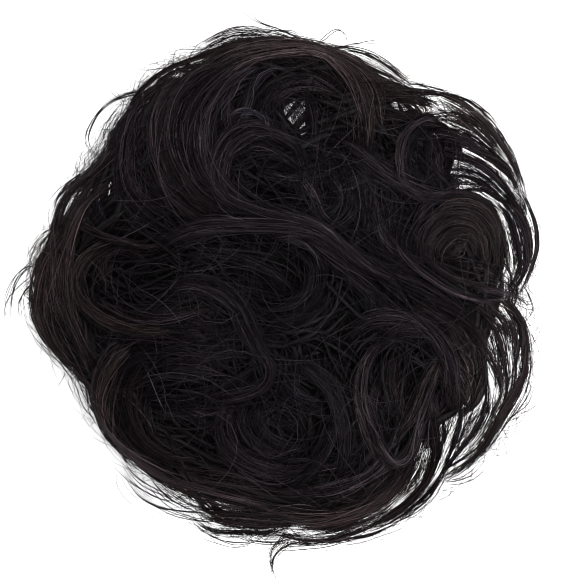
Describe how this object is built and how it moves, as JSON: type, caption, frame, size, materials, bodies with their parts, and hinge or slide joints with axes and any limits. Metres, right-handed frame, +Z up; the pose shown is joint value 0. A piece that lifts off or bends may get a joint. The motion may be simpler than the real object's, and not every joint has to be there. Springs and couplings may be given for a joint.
{
  "type": "top knot hairpiece",
  "caption": "Round tousled bun of loose dark curls with free loops at one edge, hollow underneath, on a flat elastic band that goes round the wearer's own bun.",
  "frame": {"origin": "on the resting plane, below the middle of the whole piece", "axes": "+Z up out of the hair, away from the head; +X to the side with the free loops; +Y to the side with the big arch"},
  "size_m": [0.1662, 0.1746, 0.0626],
  "materials": {
    "hair": "fine strands with a soft sheen, nearly black with a brown cast",
    "band": "matt woven elastic, black"
  },
  "bodies": {
    "root": {"bottom_edge": "hair", "bottom_middle_lock": "hair", "bottom_right_band": "hair", "bottom_tip_curl": "hair", "centre_left_curl": "hair", "centre_whorl": "hair", "crown_net": "hair", "elastic_band": "band", "flank_lock_1": "hair", "flank_lock_2": "hair", "flank_lock_3": "hair", "flank_lock_4": "hair", "flank_lock_5": "hair", "flank_lock_6": "hair", "flank_lock_7": "hair", "flank_lock_8": "hair", "flank_lock_9": "hair", "hair_core": "hair", "inner_arch": "hair", "left_edge_fall": "hair", "left_inner_sweep": "hair", "left_outer_sweep": "hair", "left_whorl": "hair", "long_centre_lock": "hair", "lower_centre_whorl": "hair", "lower_left_cross": "hair", "lower_left_edge": "hair", "lower_left_lock": "hair", "lower_middle_lock": "hair", "lower_right_arc": "hair", "lower_right_u_curl": "hair", "middle_left_swell": "hair", "middle_right_stream": "hair", "pointed_lock": "hair", "right_lower_inner": "hair", "right_lower_outer": "hair", "right_net": "hair", "right_rim_loop": "hair", "right_round_curl": "hair", "right_top_curl": "hair", "right_upper_inner": "hair", "right_upper_middle": "hair", "right_upper_outer": "hair", "s_curl": "hair", "top_arch": "hair", "upper_left_fall": "hair", "upper_middle_fall": "hair", "upper_right_lock": "hair"}
  },
  "joints": []
}
